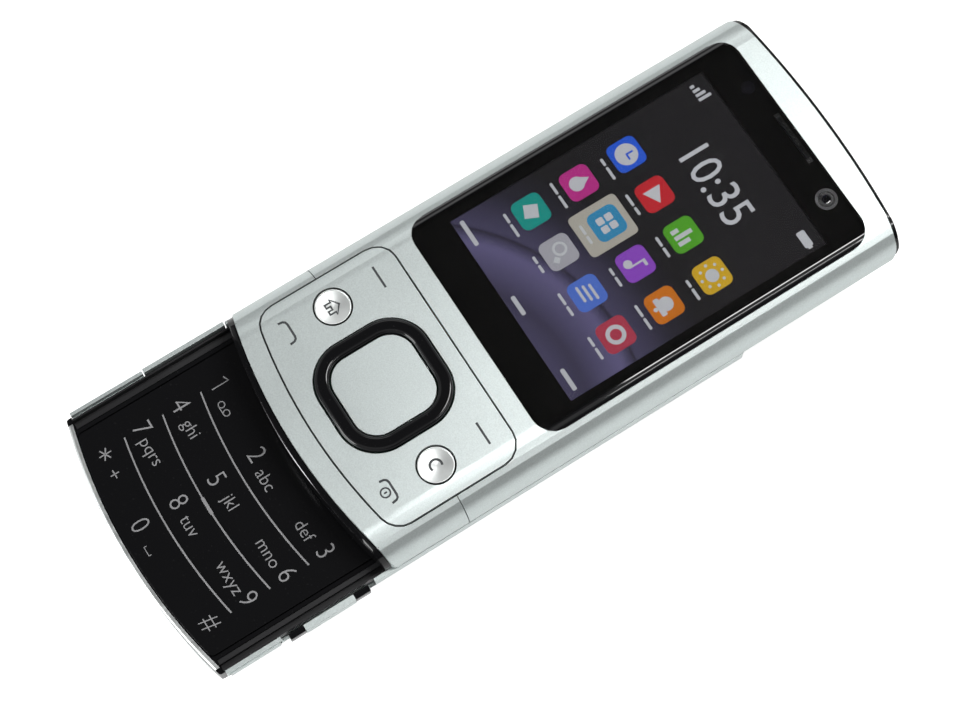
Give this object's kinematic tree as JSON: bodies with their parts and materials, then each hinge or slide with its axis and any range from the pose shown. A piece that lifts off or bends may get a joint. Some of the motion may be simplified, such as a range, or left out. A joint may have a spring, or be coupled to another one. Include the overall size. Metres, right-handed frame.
{
  "type": "slider phone",
  "caption": "Metal slider phone, open: display and navigation keys on the upper half, which slides over the number keypad of the lower half.",
  "frame": {"origin": "centre of the lower half's flat back, on the plane the phone lies on", "axes": "+Y along the phone to the earpiece end, +Z out of the display, +X to the right of someone who reads the display"},
  "size_m": [0.047, 0.1238, 0.0166],
  "materials": {
    "front_cover": "satin, fine blasted grain",
    "chin_cover": "satin, fine blasted grain",
    "top_end_cap": "high gloss",
    "slider_lip": "high gloss",
    "display_window": "polished, black printed border",
    "display_gasket": "foam",
    "display_module": "lit colour display",
    "slider_frame": "moulded",
    "slide_plate": "stamped sheet",
    "slide_plate_screws": "stamped sheet",
    "earpiece_mesh": "fine mesh",
    "earpiece": "moulded",
    "front_camera": "lens",
    "light_sensor": "tinted",
    "function_board": "solder mask",
    "function_domes": "snap domes",
    "function_plate": "satin, fine blasted grain",
    "function_keymat": "silicone",
    "nav_pad": "silicone",
    "nav_ring": "high gloss",
    "centre_key": "satin, fine blasted grain",
    "home_key": "turned, satin",
    "clear_key": "turned, satin",
    "side_frame": "satin, fine blasted grain",
    "keypad_frame": "high gloss",
    "bottom_trim": "bright",
    "slide_rail_plate": "black",
    "slide_spring": "stamped sheet",
    "flex_cable": "polyimide",
    "number_keypad": "high gloss",
    "number_keymat": "silicone",
    "number_domes": "snap domes",
    "main_board": "solder mask",
    "shield_can": "tinned",
    "chassis": "moulded",
    "battery": "wrapped cell",
    "battery_contacts": "plated",
    "battery_cover": "satin, fine blasted grain",
    "camera_panel": "high gloss",
    "rear_camera": "moulded",
    "lens_ring": "polished",
    "flash": "clear",
    "loudspeaker": "moulded",
    "speaker_mesh": "fine mesh",
    "vibration_motor": "stamped sheet",
    "sim_holder": "stamped sheet",
    "card_slot": "stamped sheet",
    "usb_connector": "stamped sheet",
    "port_cover": "metallic silver",
    "charger_jack": "moulded",
    "antenna": "plated",
    "microphone": "stamped sheet",
    "volume_rocker": "satin, fine blasted grain",
    "rocker_ends": "high gloss",
    "camera_key": "satin, fine blasted grain",
    "frame_screws": "stamped sheet"
  },
  "bodies": {
    "base": {"side_frame": "side_frame", "keypad_frame": "keypad_frame", "bottom_trim": "bottom_trim", "slide_rail_plate": "slide_rail_plate", "slide_spring": "slide_spring", "flex_cable": "flex_cable", "number_domes": "number_domes", "main_board": "main_board", "shield_can": "shield_can", "chassis": "chassis", "battery": "battery", "battery_contacts": "battery_contacts", "camera_panel": "camera_panel", "rear_camera": "rear_camera", "lens_ring": "lens_ring", "flash": "flash", "loudspeaker": "loudspeaker", "speaker_mesh": "speaker_mesh", "vibration_motor": "vibration_motor", "sim_holder": "sim_holder", "card_slot": "card_slot", "usb_connector": "usb_connector", "charger_jack": "charger_jack", "antenna": "antenna", "microphone": "microphone", "frame_screws": "frame_screws"},
    "slider": {"front_cover": "front_cover", "chin_cover": "chin_cover", "top_end_cap": "top_end_cap", "slider_lip": "slider_lip", "display_window": "display_window", "display_gasket": "display_gasket", "display_module": "display_module", "slider_frame": "slider_frame", "slide_plate": "slide_plate", "slide_plate_screws": "slide_plate_screws", "earpiece_mesh": "earpiece_mesh", "earpiece": "earpiece", "front_camera": "front_camera", "light_sensor": "light_sensor", "function_board": "function_board", "function_domes": "function_domes"},
    "function_keys": {"function_plate": "function_plate", "function_keymat": "function_keymat"},
    "nav_tilt": {"nav_pad": "nav_pad"},
    "nav_rock": {"nav_ring": "nav_ring"},
    "centre": {"centre_key": "centre_key"},
    "home": {"home_key": "home_key"},
    "clear": {"clear_key": "clear_key"},
    "number_keys": {"number_keypad": "number_keypad", "number_keymat": "number_keymat"},
    "back_door": {"battery_cover": "battery_cover"},
    "port_flap": {"port_cover": "port_cover"},
    "volume": {"volume_rocker": "volume_rocker", "rocker_ends": "rocker_ends"},
    "shutter": {"camera_key": "camera_key"}
  },
  "joints": [
    {"name": "slide", "type": "slide", "parent": "base", "child": "slider", "axis": [0, 1, 0], "range_m": [-0.028, 0], "deforming": ["slide_spring", "flex_cable"]},
    {"name": "function_press", "type": "slide", "parent": "slider", "child": "function_keys", "axis": [0, 0, -1], "range_m": [0, 0.00015], "stiffness_N_per_m": 1500},
    {"name": "nav_up_down", "type": "hinge", "parent": "slider", "child": "nav_tilt", "pos_m": [0, -0.00305, 0.0149], "axis": [1, 0, 0], "range_deg": [-1.2, 1.2], "stiffness_Nm_per_rad": 0.15},
    {"name": "nav_left_right", "type": "hinge", "parent": "nav_tilt", "child": "nav_rock", "pos_m": [0, -0.00305, 0.0149], "axis": [0, 1, 0], "range_deg": [-1.2, 1.2], "stiffness_Nm_per_rad": 0.15},
    {"name": "centre_press", "type": "slide", "parent": "slider", "child": "centre", "axis": [0, 0, -1], "range_m": [0, 0.00025], "stiffness_N_per_m": 1500},
    {"name": "home_press", "type": "slide", "parent": "slider", "child": "home", "axis": [0, 0, -1], "range_m": [0, 0.00025], "stiffness_N_per_m": 1500},
    {"name": "clear_press", "type": "slide", "parent": "slider", "child": "clear", "axis": [0, 0, -1], "range_m": [0, 0.00025], "stiffness_N_per_m": 1500},
    {"name": "number_press", "type": "slide", "parent": "base", "child": "number_keys", "axis": [0, 0, -1], "range_m": [0, 0.0002], "stiffness_N_per_m": 1500},
    {"name": "back_door_slide", "type": "slide", "parent": "base", "child": "back_door", "axis": [0, -1, 0], "range_m": [0, 0.004]},
    {"name": "port_flap_hinge", "type": "hinge", "parent": "base", "child": "port_flap", "pos_m": [-0.02325, -0.01755, 0.0074], "axis": [0, 0, -1], "range_deg": [0, 100]},
    {"name": "volume_rock", "type": "hinge", "parent": "base", "child": "volume", "pos_m": [0.0229, -0.02695, 0.0078], "axis": [0, 0, 1], "range_deg": [-1.2, 1.2], "stiffness_Nm_per_rad": 0.15},
    {"name": "shutter_press", "type": "slide", "parent": "base", "child": "shutter", "axis": [-1, 0, 0], "range_m": [0, 0.00025], "stiffness_N_per_m": 1500}
  ]
}
